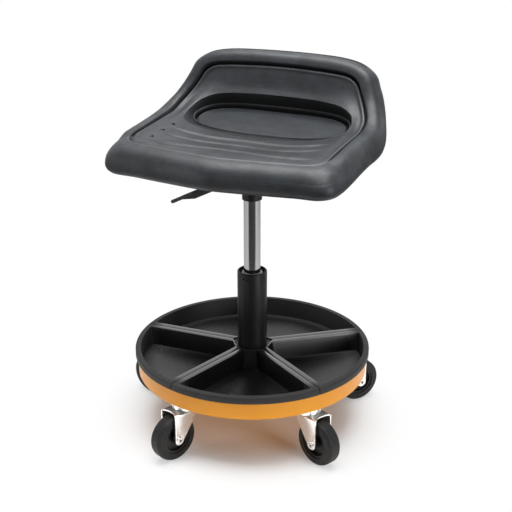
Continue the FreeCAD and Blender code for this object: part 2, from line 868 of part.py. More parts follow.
def recess_prism(low, high):
    """The recess's outline as a solid between two levels square on the recess's floor."""
    end_x = recess_half_length * recess_end_share
    back_y = recess_depth_back
    end_y = recess_depth_back * recess_back_share
    front_x = recess_half_length * recess_front_half_share
    front_y = recess_depth_back * recess_front_share
    mid_y = recess_depth_back * recess_mid_share
    outline = Part.Wire([
        Part.Arc(Vec(-end_x, end_y, 0), Vec(0, back_y, 0), Vec(end_x, end_y, 0)).toShape(),
        Part.Arc(Vec(end_x, end_y, 0), Vec(recess_half_length, mid_y, 0), Vec(front_x, front_y, 0)).toShape(),
        Part.Arc(Vec(front_x, front_y, 0), Vec(0, 0, 0), Vec(-front_x, front_y, 0)).toShape(),
        Part.Arc(Vec(-front_x, front_y, 0), Vec(-recess_half_length, mid_y, 0), Vec(-end_x, end_y, 0)).toShape(),
    ])
    prism = Part.Face(outline).extrude(Vec(0, 0, high - low))
    prism.translate(Vec(0, 0, low))
    prism.rotate(Vec(0, 0, 0), ALONG_X, recess_slope)
    prism.translate(Vec(0, recess_y, recess_z))
    return prism


def make_pad():
    """The moulded seat pad, lofted from front to back, with its mounting boss and recess."""
    wires = [pad_wire(*station) for station in pad_station_shares]
    body = Part.makeLoft(wires, True, False)
    half_x = mount_boss_length / 2
    half_y = mount_boss_width / 2
    boss = block(-half_x, half_x, -half_y, half_y, underpan_top, mount_boss_top)
    pad = body.fuse([boss, recess_prism(-recess_fill, 0)]).removeSplitter()
    pad = pad.cut(recess_prism(-recess_sink, recess_clear))
    pad = pad.cut(block(-half_x, half_x, -half_y, half_y, bracket_top - overrun, underpan_top))
    insert_top = underpan_top + insert_length
    for place in screw_places():
        pad = pad.cut(disc(insert_r + seat_fit, bracket_top, insert_top + seat_fit, place))
        pad = pad.cut(disc(screw_r + pin_fit, bracket_top, insert_top + screw_room, place))
    return pad


def build_base():
    """Writes the pieces that roll with the base but don't turn with the seat."""
    save("column_tube", make_column())
    save("column_end_plate", make_end_plate())
    save("column_guide_bush", make_guide_bush())
    save("hub_socket", make_hub())
    save("ring_band", tube(band_r, band_inner_r, band_bottom, band_top))
    arm = make_arm()
    tray = make_tray()
    plates = []
    bushes = []
    for number in range(arm_count):
        angle = arm_angle(number)
        label = str(number + 1)
        save("base_arm_" + label, turned_to(arm, angle))
        save("tray_" + label, turned_to(tray, angle + step_angle / 2))
        plates.append(turned_to(make_caster_plate(), angle))
        bushes.append(at_caster(make_stem_bush(), number))
    save("caster_plates", plates)
    save("stem_bushes", bushes)


def build_casters():
    """Writes the five casters."""
    makers = {"fork": make_fork(), "axle": make_axle(), "wheel_core": make_core(), "tyre": make_tyre()}
    pins = []
    races = []
    balls = []
    for number in range(arm_count):
        for name, shape in makers.items():
            save(name + "_" + str(number + 1), at_caster(shape, number))
        pins.append(at_caster(make_king_pin(), number))
        races.append(at_caster(make_upper_race(), number))
        for ball in ring_of_balls(swivel_ball_r, swivel_pitch_r, swivel_ball_z, swivel_ball_count):
            balls.append(at_caster(ball, number))
    save("king_pins", pins)
    save("upper_races", races)
    save("swivel_balls", balls)


def build_lift():
    """Writes the gas lift's rod, bearing, cylinder and valve."""
    piston_top = piston_bottom + piston_length
    ball_z = bearing_low + race_thick + bearing_ball_r
    seal_top = cylinder_bottom + end_seal_length
    inside_r = cylinder_r - cylinder_wall
    clip_top = column_bottom - clip_gap
    cushion_low = bearing_high + race_thick
    save("piston_rod", make_rod())
    save("piston_head", tube(inside_r - piston_clearance, rod_spigot_r + seat_fit, piston_bottom, piston_top))
    save("rod_clip", tube(clip_r, rod_tip_r - clip_groove + seat_fit, clip_top - clip_thick, clip_top))
    save("lower_bearing_race", make_race(bearing_low, rod_tip_r + pin_fit))
    save("upper_bearing_race", make_race(bearing_high, rod_tip_r + seat_fit))
    save("bearing_balls", ring_of_balls(bearing_ball_r, bearing_pitch_r, ball_z, bearing_ball_count))
    save("cushion_washer", tube(cushion_r, rod_tip_r + seat_fit, cushion_low, rod_shoulder))
    save("gas_cylinder", make_cylinder())
    save("cylinder_end_seal", tube(inside_r - seat_fit, rod_r + running_fit, cylinder_bottom, seal_top))
    save("valve_block", make_valve())
    save("release_button", make_button())


def build_seat():
    """Writes the seat and what joins it to the lift."""
    save("taper_hub", make_hub_tube())
    save("seat_bracket", make_bracket())
    save("lever_pivot_pin", make_lever_pin())
    save("release_lever", make_lever())
    save("seat_underpan", make_underpan())
    screws = []
    inserts = []
    for place in screw_places():
        screw = make_screw()
        screw.translate(place)
        screws.append(screw)
        insert = make_insert()
        insert.translate(place)
        inserts.append(insert)
    save("seat_screws", screws)
    save("seat_inserts", inserts)
    save("seat_pad", make_pad())


build_base()
build_casters()
build_lift()
build_seat()
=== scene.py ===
"""Creeper seat: the looks of a rolling mechanic's stool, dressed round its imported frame.

Metres. The frame is the CAD model's: the floor is Z = 0, the gas lift stands on the Z axis, and the sitter
faces -Y.
"""
import bpy
import json
import math
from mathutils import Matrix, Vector


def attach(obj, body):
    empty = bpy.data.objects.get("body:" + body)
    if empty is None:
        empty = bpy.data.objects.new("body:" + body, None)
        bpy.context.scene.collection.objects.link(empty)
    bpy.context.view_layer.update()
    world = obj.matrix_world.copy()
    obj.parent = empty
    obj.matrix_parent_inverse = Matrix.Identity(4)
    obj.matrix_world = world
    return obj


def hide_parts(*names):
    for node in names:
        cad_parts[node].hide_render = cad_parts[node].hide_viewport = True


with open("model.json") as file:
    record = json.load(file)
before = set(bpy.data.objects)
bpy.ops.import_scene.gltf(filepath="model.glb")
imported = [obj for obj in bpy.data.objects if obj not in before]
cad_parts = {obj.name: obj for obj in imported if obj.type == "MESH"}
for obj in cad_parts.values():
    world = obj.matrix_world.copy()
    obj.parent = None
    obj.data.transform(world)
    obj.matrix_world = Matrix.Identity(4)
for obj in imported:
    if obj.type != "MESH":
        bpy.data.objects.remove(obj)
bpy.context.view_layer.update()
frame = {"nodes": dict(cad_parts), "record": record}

# Camera
camera_place = (0.6961, -1.3940, 0.8895)
camera_tilt = math.radians(69.1)
camera_side = math.radians(26.3)
camera_lens = 70.3125
camera_sensor = 36.0
camera_far = 40.0
toward_camera = (math.sin(camera_side), -math.cos(camera_side), 0)

# Lamps: name, place, aim, width, height, watts, colour
white_light = (1, 1, 1)
lamps = (
    ("key_softbox", (0.02, -0.12, 2.2), (0, 0, 0.3), 1.8, 1.4, 76.0, white_light),
    ("rear_softbox", (-0.30, 1.20, 1.7), (0, 0, 0.4), 1.3, 0.7, 2.0, (0.93, 0.97, 1.0)),
    ("left_softbox", (-1.35, -1.35, 0.6), (0, 0, 0.1), 0.7, 1.1, 6.0, white_light),
    ("right_softbox", (1.7, -0.6, 0.6), (0, 0, 0.1), 0.7, 1.1, 14.0, white_light),
    ("band_glow", (0, 0, 0.094), (0, 0, 0), 0.30, 0.30, 0.12, (1.0, 0.36, 0.02)),
)

# Floor: its grey, and what the camera's view and reflections add to it or take from it
floor_half = 6.0
floor_grey = 0.55
floor_seen_rise = 0.18
floor_mirror_rise = 0.45
floor_far_drop = 0.70
floor_dark_drop = 0.27
# Where each change on the floor starts and ends, as distances from the lift: all round for far and open,
# towards the camera for dark, and away from it for behind
floor_far_span = (0.42, 0.56)
floor_dark_span = (0.38, 0.60)
floor_open_span = (0.12, 0.30)
floor_behind_span = (0.06, 0.26)
# The dark part is a wedge: the share of a place's distance that lies towards the camera
floor_dark_share_span = (0.56, 0.76)

# World: its light, its brightness in reflections, and how much darker it is on the camera's side
sky_level = 0.24
studio_level = 0.85
studio_dark_drop = 0.75
studio_dark_span = (-0.50, 0.10)

# Seat pad, one half of its edge from the front to the back: across, and along the surface from the lift
seat_edge = (
    (0.0, -0.1619), (0.06, -0.1573), (0.11, -0.152), (0.15, -0.147), (0.176, -0.1425), (0.1905, -0.131),
    (0.1955, -0.108), (0.1975, -0.075), (0.1978, -0.035), (0.1985, 0.0), (0.2008, 0.048), (0.1862, 0.0909),
    (0.1706, 0.1256), (0.1599, 0.1474), (0.1351, 0.1629), (0.1, 0.1701), (0.05, 0.1727), (0.0, 0.1733),
)
# Groove inside the seat's rim, given in the same way
groove_edge = (
    (0.0, -0.1315), (0.06, -0.127), (0.095, -0.1235), (0.125, -0.1205), (0.145, -0.117), (0.159, -0.11),
    (0.1665, -0.1), (0.1695, -0.085), (0.1698, -0.06), (0.1697, -0.03), (0.17, 0.0), (0.1705, 0.035),
    (0.1685, 0.064), (0.1625, 0.082), (0.1548, 0.0985), (0.147, 0.114), (0.1385, 0.129), (0.124, 0.139),
    (0.1, 0.1432), (0.045, 0.1463), (0.0, 0.1472),
)
# Mouth of the recess, given in the same way
recess_edge = (
    (0.0, -0.0050), (0.040, -0.0035), (0.075, 0.0003), (0.101, 0.0038), (0.125, 0.0095), (0.138, 0.0180),
    (0.1445, 0.0300), (0.146, 0.0465), (0.1435, 0.0610), (0.136, 0.0760), (0.119, 0.0880), (0.096, 0.0945),
    (0.055, 0.0983), (0.0, 0.0995),
)
# Lip and plate in the recess: across, and along Y
lip_edge = (
    (0.0, 0.0160), (0.045, 0.0170), (0.080, 0.0205), (0.105, 0.0260), (0.122, 0.0330), (0.133, 0.0430),
    (0.1385, 0.0570), (0.136, 0.0720), (0.126, 0.0860), (0.103, 0.0975), (0.062, 0.1035), (0.0, 0.1050),
)
plate_edge = (
    (0.0, 0.0225), (0.042, 0.0235), (0.080, 0.0270), (0.104, 0.0325), (0.119, 0.0395), (0.128, 0.0480),
    (0.1315, 0.0590), (0.1275, 0.0715), (0.115, 0.0830), (0.094, 0.0920), (0.056, 0.0975), (0.0, 0.0990),
)
ring_points = 384
curve_steps = 24
corner_steps = 12
seat_smooth_angle = math.radians(48)

# Sitting surface: a straight run, a bend and a straight back
seat_slope = math.radians(6.84)
back_slope = math.radians(70.27)
bend_radius = 0.08308
bend_start = 0.02628
seat_level = 0.51077
seat_half_width = 0.195
# Its sides rise, more at the back
rise_front = 0.00051
rise_back = 0.0027
rise_start = -0.160
rise_length = 0.330
# The pad gets thinner towards the back, and a little thicker on one side in front
seat_thick = 0.04592
back_thick = 0.03034
thin_start = 0.055
thin_length = 0.110
side_droop = 0.0025
droop_end = 0.060
droop_length = 0.12
# The front corners stand out, more towards the underside
corner_flare = 0.0042
flare_across_start = 0.130
flare_across_length = 0.050
flare_back_end = 0.050
flare_length = 0.155
flare_out_length = 0.020
flare_down_share = 0.75
# The middle is dished
dish_depth = 0.014
dish_back = 0.008
dish_half_width = 0.150
dish_change_start = 0.020
dish_change_length = 0.080
dish_power = 2.5
# The panel inside the groove lies under the rim, more at the back
panel_sink_front = 0.0006
panel_sink_back = 0.0042
sink_start = -0.100
sink_length = 0.220
panel_steps = 64
panel_blend_share = 0.8

groove_inset = 0.026
groove_floor = 0.0024
# The front has sections of its own, forward of this line along the surface
front_end = -0.075
front_fade = 0.030
# Rim from the groove outwards: distance from the groove's middle, height over the surface at the sides and in
# front, share of the groove's depth at the sides, and painted light at the sides and in front (1 a painted
# highlight on a crest, -1 painted shade in a crease)
rim_section = (
    (0.0008, -0.0012, 0.0018, 1.0, -1.0, 0.9),
    (0.0014, -0.0004, 0.0024, 0.72, -0.6, 1.0),
    (0.0019, 0.0010, 0.0024, 0.25, -0.1, 1.0),
    (0.0024, 0.0019, 0.0019, 0.06, 0.1, 0.5),
    (0.0034, 0.0026, 0.0014, 0.0, 0.0, 0.0),
    (0.0054, 0.0030, 0.0011, 0.0, 0.0, 0.0),
    (0.0082, 0.0032, 0.0005, 0.0, 0.0, 0.0),
    (0.0108, 0.0031, -0.0004, 0.0, 0.0, 0.0),
    (0.0134, 0.0027, -0.0018, 0.0, 0.0, 0.0),
    (0.0160, 0.0018, -0.0037, 0.0, 0.0, 0.0),
    (0.0186, 0.0002, -0.0061, 0.0, 0.0, 0.0),
    (0.0210, -0.0024, -0.0091, 0.0, 0.0, 0.0),
    (0.0228, -0.0056, -0.0120, 0.0, 0.0, 0.0),
    (0.0241, -0.0092, -0.0146, 0.0, 0.0, 0.0),
    (0.0250, -0.0130, -0.0169, 0.0, 0.0, 0.0),
)
# Side of the rim downwards: distance from the groove's middle, and share of the thickness
side_section = (
    (0.0260, 0.42), (0.0268, 0.54), (0.0272, 0.65), (0.0269, 0.75), (0.0256, 0.84), (0.0230, 0.915),
    (0.0188, 0.968), (0.0130, 0.995), (0.0080, 1.0), (-0.0080, 1.0), (-0.0100, 0.985),
)
# Inner side of the groove: distance inwards, height over the sunk panel at the sides and in front, and
# painted light at the sides and in front (1 a painted highlight, -1 painted shade)
groove_section = (
    (0.0008, -0.0026, -0.0002, -1.0, -0.5),
    (0.0015, -0.0014, -0.0014, -0.5, -1.0),
    (0.0021, 0.0003, -0.0020, 0.1, -1.0),
    (0.0028, 0.0012, -0.0022, 0.6, -1.0),
    (0.0037, 0.0018, -0.0020, 0.9, -0.8),
    (0.0048, 0.0019, -0.0014, 0.6, -0.4),
    (0.0062, 0.0014, -0.0006, 0.1, 0.0),
    (0.0080, 0.0005, -0.0001, 0.0, 0.0),
    (0.0100, 0.0, 0.0, 0.0, 0.0),
)

# Ridges across the panel: along the surface, and how far they bow to the front
ridge_lines = ((-0.0200, 0.005), (-0.0440, 0.011), (-0.0860, 0.010))
ridge_height = 0.0026
ridge_width = 0.0030
# Painted highlight on each ridge's crest and painted shade on a band a little in front of it
ridge_painted_light = 0.55
ridge_shade_drop = 0.0060
ridge_shade_width = 0.0042
ridge_bow_length = 0.085
ridge_return_start = 0.105
ridge_return_length = 0.045
ridge_end = 0.150
ridge_fade = 0.04
# Vent notches in the panel: across, and along the surface
notches = ((-0.1393, -0.0772), (-0.1388, -0.0440), (-0.1375, -0.0130))
notch_radius = 0.0050
notch_depth = 0.0040
notch_corners = 3

# Recess: the slope of its floor, and the floor's level at a place along Y
recess_slope = math.radians(17.0)
recess_y = -0.014
recess_level = 0.4880
# Its plate's middle along Y, and how far the whole recess stands to the sitter's left
recess_middle = 0.061
recess_shift = 0.003
# Its wall: shares of the way from the mouth to the foot, outwards and downwards, and the foot beside the lip
wall_shares = ((0.10, 0.02), (0.25, 0.10), (0.42, 0.26), (0.58, 0.48), (0.74, 0.72), (0.88, 0.92))
# The wall and its foot get painted shade
wall_painted_shade = -0.8
wall_painted_shade_share = 0.6
wall_foot_out = 0.0022
wall_foot_drop = 0.0004
wall_foot_painted_shade = -0.9
crease_depth = 0.0016
crease_in_share = 0.2
crease_out_share = 0.8
# Lip, gap and plate's edge: distance inwards from the lip, share of the gap's width, height, share of the
# plate's depth, and painted light (1 a painted highlight on the lip, -1 painted shade in the gap)
lip_section = (
    (-0.0010, 0.0, 0.0010, 0.0, 0.2),
    (-0.0003, 0.0, 0.0024, 0.0, 1.0),
    (0.0006, 0.0, 0.0024, 0.0, 1.0),
    (0.0012, 0.0, 0.0010, 0.0, 0.2),
    (0.0012, 0.0, -0.0008, 0.3, -1.0),
    (0.0006, 0.0, -0.0020, 1.0, -1.0),
    (0.0002, 0.0, -0.0050, 1.0, -1.0),
    (0.0018, 0.85, -0.0050, 1.0, -1.0),
    (0.0019, 1.0, -0.0010, 1.0, -0.6),
    (0.0023, 1.0, 0.0002, 1.0, 0.0),
    (0.0030, 1.0, 0.0006, 1.0, 0.3),
    (0.0038, 1.0, 0.0004, 1.0, 0.0),
    (0.0050, 1.0, 0.0, 1.0, 0.0),
)
gap_front = 0.0014
gap_rear = 0.0046
gap_change_start = 0.018
gap_change_length = 0.030
plate_depth_front = 0.0008
plate_depth_rear = 0.0056
plate_front = 0.016
plate_length = 0.089
plate_shares = (0.94, 0.8, 0.6, 0.35, 0.12)

# Underside of the pad: the boss on the underpan, the run from it to the seam, and the seam
boss_half_length = 0.088
boss_half_width = 0.061
boss_round = 0.012
boss_edge = 0.002
boss_shares = (0.15, 0.4, 0.7, 0.95, 1.0)
underpan_top = 0.4516
pad_clearance = 0.0002
underside_shares = (0.0, 0.04, 0.12, 0.25, 0.4, 0.6, 0.8, 0.94)
underside_rise = 0.004
seam_inset = 0.0160
seam_height = 0.0035

# Trays: their number, the level of their flanges, the distances from the lift between which the gloss fades
# towards the outer rim, and how many edge widths under the flanges it starts and is whole
tray_count = 5
tray_top = 0.1366
tray_rim_span = (0.168, 0.192)
tray_gloss_widths = (2.2, 1.2)

# Eased edges of the moulded and pressed pieces
tray_edge = 0.0011
fork_edge = 0.0005
tube_edge = 0.0009
bush_edge = 0.0006
edge_segments = 2
edge_angle = math.radians(40)
tube_edge_angle = math.radians(30)
edge_smooth_angle = math.radians(35)
flat_angle = math.radians(1.5)
merge_distance = 0.00001

# Guide bush in the column's mouth, with a ring groove in its top
bush_top = 0.2691
bush_groove_outer = 0.0215
bush_groove_inner = 0.0176
bush_groove_depth = 0.009
bush_sink = 0.0027
bush_rim_blur = 0.0002
round_sides = 96

# Punched marks in the column, which hold the bush
column_r = 0.0250
mark_level = 0.2608
mark_r = 0.0018
mark_depth = 0.0080
mark_turns = (math.radians(262.5), math.radians(279.3))
mark_sides = 32


# Materials

class Signal:
    """A node's output on which ordinary arithmetic adds the nodes that work it out."""

    def __init__(self, nodes, socket):
        self.nodes = nodes
        self.socket = socket

    def __add__(self, other):
        return self.nodes.maths("ADD", self, other)

    def __radd__(self, other):
        return self.nodes.maths("ADD", other, self)

    def __sub__(self, other):
        return self.nodes.maths("SUBTRACT", self, other)

    def __rsub__(self, other):
        return self.nodes.maths("SUBTRACT", other, self)

    def __mul__(self, other):
        return self.nodes.maths("MULTIPLY", self, other)

    def __rmul__(self, other):
        return self.nodes.maths("MULTIPLY", other, self)

    def __truediv__(self, other):
        return self.nodes.maths("DIVIDE", self, other)


class Nodes:
    """A node tree that is written as expressions."""

    def __init__(self, tree):
        self.tree = tree

    def plug(self, value, socket):
        if isinstance(value, Signal):
            self.tree.links.new(value.socket, socket)
        else:
            socket.default_value = value

    def node(self, kind, output=0, inputs=None, **settings):
        """Any node, from its type, its settings and the values or links of its sockets."""
        made = self.tree.nodes.new("ShaderNode" + kind)
        for name, value in settings.items():
            setattr(made, name, value)
        for name, value in (inputs or {}).items():
            self.plug(value, made.inputs[name])
        return Signal(self, made.outputs[output])

    def maths(self, operation, *values):
        return self.node("Math", operation=operation, inputs=dict(enumerate(values)))

    def between(self, value, low, high):
        """0 below low, 1 above high, smooth in between."""
        return self.node("MapRange", interpolation_type="SMOOTHSTEP",
                         inputs={"Value": value, "From Min": low, "From Max": high})

    def colour_mix(self, factor, first, second):
        return self.node("Mix", output=2, data_type="RGBA", inputs={0: factor, 6: first, 7: second})

    def along(self, place, direction):
        """How far a place lies in a direction."""
        return self.node("VectorMath", output="Value", operation="DOT_PRODUCT",
                         inputs={0: place, 1: direction})

    def length(self, place):
        return self.node("VectorMath", output="Value", operation="LENGTH", inputs={0: place})


class Finish(Nodes):
    """A procedural material round one shader."""

    def __init__(self, name, **constants):
        self.material = bpy.data.materials.new(name)
        self.material.use_nodes = True
        super().__init__(self.material.node_tree)
        self.shader = self.tree.nodes["Principled BSDF"]
        for socket, value in constants.items():
            self.shader.inputs[socket.replace("_", " ")].default_value = value
        self.place = self.node("TexCoord", output="Object")

    def noise(self, scale, detail=2.0, roughness=0.5, stretch=None):
        place = self.stretched(stretch) if stretch else self.place
        return self.node("TexNoise", output="Fac", inputs={
            "Vector": place, "Scale": scale, "Detail": detail, "Roughness": roughness})

    def stretched(self, stretch):
        return self.node("Mapping", inputs={"Vector": self.place, "Scale": stretch})

    def across(self):
        """Distance from the lift's axis."""
        return self.length(self.stretched((1.0, 1.0, 0.0)))

    def put(self, socket, value):
        self.plug(value, self.shader.inputs[socket])

    def bump(self, height, strength, distance):
        bumped = self.node("Bump", inputs={"Strength": strength, "Distance": distance, "Height": height})
        self.put("Normal", bumped)


def grey(level, warmth=0.0):
    return (level * (1 + warmth), level, level * (1 - warmth), 1)


def make_seat_foam():
    """Self-skinned foam, dusty and streaked, with painted highlight on its crests and painted shade in its
    creases.
    """
    dark_skin = (0.0098, 0.0112, 0.0132, 1)
    dusty_skin = (0.0265, 0.0305, 0.0360, 1)
    # A paler colour painted on crests as a highlight, and near-black painted into creases, grooves, the
    # recess wall and the notches as shade
    painted_highlight_skin = (0.070, 0.076, 0.084, 1)
    painted_crease_shade = (0.0015, 0.0016, 0.0018, 1)
    foam = Finish("seat_foam_skin", Specular_IOR_Level=0.45)
    dust = foam.noise(26.0, detail=6.0, roughness=0.68)
    streaks = foam.noise(60.0, detail=4.0, roughness=0.65, stretch=(0.25, 1.0, 1.0))
    grain = foam.noise(620.0, detail=3.0, roughness=0.6)
    pores = foam.noise(1500.0, detail=1.0)
    worn = foam.between(dust * 0.55 + streaks * 0.30 + grain * 0.15, low=0.36, high=0.64)
    # The point attribute read here marks painted light: above 0 a painted highlight, below 0 painted shade
    painted_light = foam.node("Attribute", output="Fac", attribute_name="painted_light")
    crest = foam.between(painted_light, low=0.10, high=1.0)
    crease = foam.between(0.0 - painted_light, low=0.10, high=1.0)
    skin = foam.colour_mix(worn, dark_skin, dusty_skin)
    highlighted_skin = foam.colour_mix(crest * 0.75, skin, painted_highlight_skin)
    foam.put("Base Color", foam.colour_mix(crease, highlighted_skin, painted_crease_shade))
    foam.put("Roughness", 0.50 - worn * 0.12 + grain * 0.06 - crest * 0.06 + crease * 0.35)
    foam.bump(grain * 0.7 + pores * 0.5 + dust * 1.2, strength=0.45, distance=0.0006)
    return foam.material


def make_tray_plastic():
    """Satin plastic, glossier on the flat flanges and duller on the outer rim."""
    plastic = Finish("tray_plastic_satin", Specular_IOR_Level=0.6, Coat_Roughness=0.12)
    cloud = plastic.noise(18.0, detail=4.0, roughness=0.6)
    grain = plastic.noise(900.0)
    scuffs = plastic.noise(60.0, detail=6.0, roughness=0.72, stretch=(1.0, 1.0, 0.3))
    marks = plastic.between(scuffs, low=0.56, high=0.74)
    plastic.put("Base Color", plastic.colour_mix(cloud * 0.7 + marks * 0.3, grey(0.0020), grey(0.0048)))
    rim = plastic.between(plastic.across(), *tray_rim_span)
    height = plastic.node("SeparateXYZ", output="Z", inputs={"Vector": plastic.place})
    flange = plastic.between(height, *(tray_top - tray_edge * widths for widths in tray_gloss_widths))
    plastic.put("Roughness", 0.24 + cloud * 0.05 + marks * 0.02 + rim * 0.40)
    plastic.put("Coat Weight", flange * (1.0 - rim) * 0.85)
    plastic.bump(grain, strength=0.12, distance=0.0003)
    return plastic.material


def make_band_paint():
    """Orange powder coat with a fine peel."""
    deep_orange = (0.74, 0.275, 0.006, 1)
    light_orange = (0.82, 0.325, 0.010, 1)
    paint = Finish("band_orange_powder_coat", Specular_IOR_Level=0.4)
    cloud = paint.noise(12.0, detail=3.0, roughness=0.55)
    peel = paint.noise(420.0)
    paint.put("Base Color", paint.colour_mix(cloud, deep_orange, light_orange))
    paint.put("Roughness", 0.30 + cloud * 0.08)
    paint.bump(peel, strength=0.18, distance=0.0004)
    return paint.material


def make_black_steel():
    """Black painted steel, a little rubbed."""
    steel = Finish("black_painted_steel", Specular_IOR_Level=0.4)
    cloud = steel.noise(16.0, detail=3.0, roughness=0.55)
    peel = steel.noise(520.0)
    scuffs = steel.noise(45.0, detail=6.0, roughness=0.7, stretch=(1.0, 1.0, 0.25))
    rub = steel.between(scuffs, low=0.60, high=0.74)
    steel.put("Base Color", steel.colour_mix(cloud * 0.6 + rub * 0.4, grey(0.008), grey(0.015)))
    steel.put("Roughness", 0.32 + cloud * 0.08 + rub * 0.08)
    steel.bump(peel, strength=0.22, distance=0.0004)
    return steel.material


def make_chrome():
    """Polished chrome with a thin film of oil and fine honing along the lift."""
    filmed_chrome = (0.82, 0.82, 0.85, 1)
    clean_chrome = (0.90, 0.90, 0.92, 1)
    chrome = Finish("polished_chrome", Metallic=1.0)
    film = chrome.noise(30.0, detail=4.0, roughness=0.6)
    hone = chrome.noise(900.0, stretch=(1.0, 1.0, 0.08))
    chrome.put("Base Color", chrome.colour_mix(film, filmed_chrome, clean_chrome))
    chrome.put("Roughness", 0.07 + film * 0.05 + hone * 0.03)
    return chrome.material


def make_zinc():
    """Zinc-plated sheet with rolling marks and flecks."""
    dull_zinc = (0.88, 0.87, 0.84, 1)
    bright_zinc = (0.96, 0.96, 0.94, 1)
    zinc = Finish("zinc_plated_steel", Metallic=0.85)
    cloud = zinc.noise(70.0, detail=4.0, roughness=0.6)
    rolled = zinc.noise(380.0, detail=3.0, roughness=0.6, stretch=(1.0, 1.0, 0.2))
    flecks = zinc.noise(1400.0, detail=2.0, roughness=0.6)
    zinc.put("Base Color", zinc.colour_mix(cloud, dull_zinc, bright_zinc))
    zinc.put("Roughness", 0.14 + cloud * 0.12 + flecks * 0.06)
    zinc.bump(rolled * 0.6 + flecks * 0.4, strength=0.15, distance=0.0003)
    return zinc.material


def make_bare_steel():
    """Turned steel."""
    steel = Finish("turned_steel", Metallic=1.0)
    turning = steel.noise(1200.0, stretch=(0.2, 0.2, 1.0))
    cloud = steel.noise(90.0, detail=3.0, roughness=0.6)
    steel.put("Base Color", steel.colour_mix(cloud, grey(0.45, warmth=0.03), grey(0.60, warmth=0.02)))
    steel.put("Roughness", 0.26 + turning * 0.14)
    steel.bump(turning, strength=0.2, distance=0.0002)
    return steel.material


def make_brass_steel():
    """Brass-plated steel."""
    dull_brass = (0.62, 0.44, 0.18, 1)
    bright_brass = (0.78, 0.58, 0.26, 1)
    brass = Finish("brass_plated_insert", Metallic=1.0)
    cloud = brass.noise(150.0, detail=3.0, roughness=0.6)
    brass.put("Base Color", brass.colour_mix(cloud, dull_brass, bright_brass))
    brass.put("Roughness", 0.28 + cloud * 0.15)
    return brass.material


def make_bush_plastic():
    """White plastic inside the bush's ring groove, black outside it."""
    plastic = Finish("guide_bush_acetal", Specular_IOR_Level=0.5)
    cloud = plastic.noise(60.0, detail=3.0, roughness=0.6)
    white = plastic.colour_mix(cloud, grey(0.42), grey(0.52))
    outside = plastic.between(plastic.across(), low=bush_groove_inner - bush_rim_blur,
                              high=bush_groove_inner + bush_rim_blur)
    plastic.put("Base Color", plastic.colour_mix(outside, white, grey(0.006)))
    plastic.put("Roughness", 0.30 + cloud * 0.12)
    plastic.bump(plastic.noise(700.0), strength=0.1, distance=0.0003)
    return plastic.material


def make_core_plastic():
    """Black plastic of the wheel cores."""
    plastic = Finish("wheel_core_plastic", Specular_IOR_Level=0.4)
    cloud = plastic.noise(50.0, detail=3.0, roughness=0.6)
    grain = plastic.noise(1000.0)
    plastic.put("Base Color", plastic.colour_mix(cloud, grey(0.008), grey(0.016)))
    plastic.put("Roughness", 0.42 + cloud * 0.12)
    plastic.bump(grain, strength=0.2, distance=0.0003)
    return plastic.material


def make_rubber(name, low, high):
    """Dusty rubber between two greys."""
    rubber = Finish(name, Specular_IOR_Level=0.35)
    dust = rubber.noise(130.0, detail=6.0, roughness=0.70)
    grain = rubber.noise(800.0, detail=3.0, roughness=0.6)
    dusty = rubber.between(dust, low=0.35, high=0.7)
    rubber.put("Base Color", rubber.colour_mix(dusty, grey(low, warmth=0.02), grey(high, warmth=0.02)))
    rubber.put("Roughness", 0.48 + dust * 0.20)
    rubber.bump(grain * 0.6 + dust * 0.5, strength=0.3, distance=0.0005)
    return rubber.material


finishes = {
    "seat_foam": make_seat_foam(),
    "tray_plastic": make_tray_plastic(),
    "band_paint": make_band_paint(),
    "black_steel": make_black_steel(),
    "chrome": make_chrome(),
    "zinc_steel": make_zinc(),
    "bare_steel": make_bare_steel(),
    "brass_steel": make_brass_steel(),
    "bush_plastic": make_bush_plastic(),
    "core_plastic": make_core_plastic(),
    "tyre_rubber": make_rubber("tyre_rubber_black", 0.003, 0.014),
    "washer_rubber": make_rubber("cushion_rubber", 0.010, 0.018),
}


def dress_nodes():
    """Every CAD node gets the finish of its slot."""
    for part in frame["record"]["subparts"]:
        node = frame["nodes"][part["node"]]
        node.data.materials.clear()
        node.data.materials.append(finishes[part["material_slot"]])


# Shapes of the seat

def held_share(value):
    """A value held between 0 and 1."""
    return min(1.0, max(0.0, value))


def smooth_share(value):
    """A value held between 0 and 1, with a smooth start and end."""
    held = held_share(value)
    return held * held * (3 - 2 * held)


def blend(start, end, share):
    return start + (end - start) * share


def curve_through(half):
    """A closed smooth loop of evenly spaced points through one half's points and their mirror images."""
    points = [Vector((x, v)) for x, v in half]
    points += [Vector((-x, v)) for x, v in reversed(half[1:-1])]
    count = len(points)
    dense = []
    for number in range(count):
        before, start, end, after = (points[(number + shift) % count] for shift in (-1, 0, 1, 2))
        for step in range(curve_steps):
            t = step / curve_steps
            line = 2 * start + (end - before) * t
            square = (2 * before - 5 * start + 4 * end - after) * t ** 2
            cube = (3 * start - before - 3 * end + after) * t ** 3
            dense.append((line + square + cube) / 2)
    return evenly(dense)


def evenly(loop):
    """The same closed loop with evenly spaced points."""
    lengths = [0.0]
    for number, point in enumerate(loop):
        lengths.append(lengths[-1] + (loop[(number + 1) % len(loop)] - point).length)
    spaced = []
    at = 0
    for number in range(ring_points):
        wanted = lengths[-1] * number / ring_points
        while lengths[at + 1] < wanted:
            at += 1
        share = (wanted - lengths[at]) / (lengths[at + 1] - lengths[at])
        spaced.append(loop[at].lerp(loop[(at + 1) % len(loop)], share))
    return spaced


def outward_normals(loop):
    """Unit normals of a closed loop that runs anticlockwise, pointing out of it."""
    normals = []
    for number in range(len(loop)):
        run = loop[(number + 1) % len(loop)] - loop[number - 1]
        normals.append(Vector((run.y, -run.x)).normalized())
    return normals


